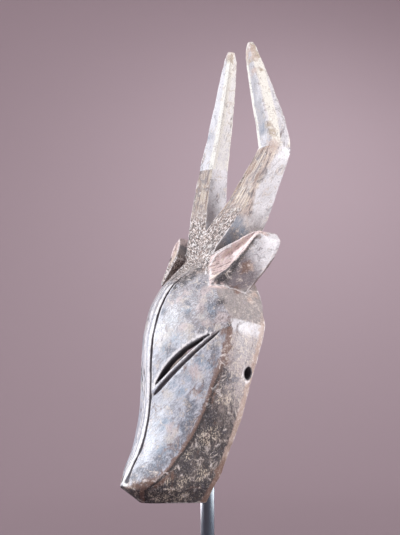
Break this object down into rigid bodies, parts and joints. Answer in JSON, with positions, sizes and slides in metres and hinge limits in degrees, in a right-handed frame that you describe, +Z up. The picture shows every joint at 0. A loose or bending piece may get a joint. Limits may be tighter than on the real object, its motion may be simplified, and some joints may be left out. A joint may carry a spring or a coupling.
{
  "type": "carved antelope mask on a stand",
  "caption": "Carved wooden antelope face mask with bent horns, slit eyes and a hollow back, held upright by a steel rod on a flat square foot.",
  "frame": {"origin": "on the underside of the stand's foot, under the axis of the rod", "axes": "+Z up along the rod, -Y the way the mask looks, +X the mask's own left"},
  "size_m": [0.15, 0.153, 0.5386],
  "materials": {
    "mask_wood": "hand-carved wood under a worn grey-white pigment with a satin sheen: blue-grey blotches on the face, dark brown and ochre on the sides and chin, ivory horns, bare orange-brown wood on the worn edges",
    "rod_steel": "gunmetal blue-grey round bar, drawn, with a soft satin gloss",
    "foot_steel": "plain plate, matt black paint"
  },
  "bodies": {
    "root": {"mask": "mask_wood", "stand_rod": "rod_steel", "stand_foot": "foot_steel"}
  },
  "joints": []
}
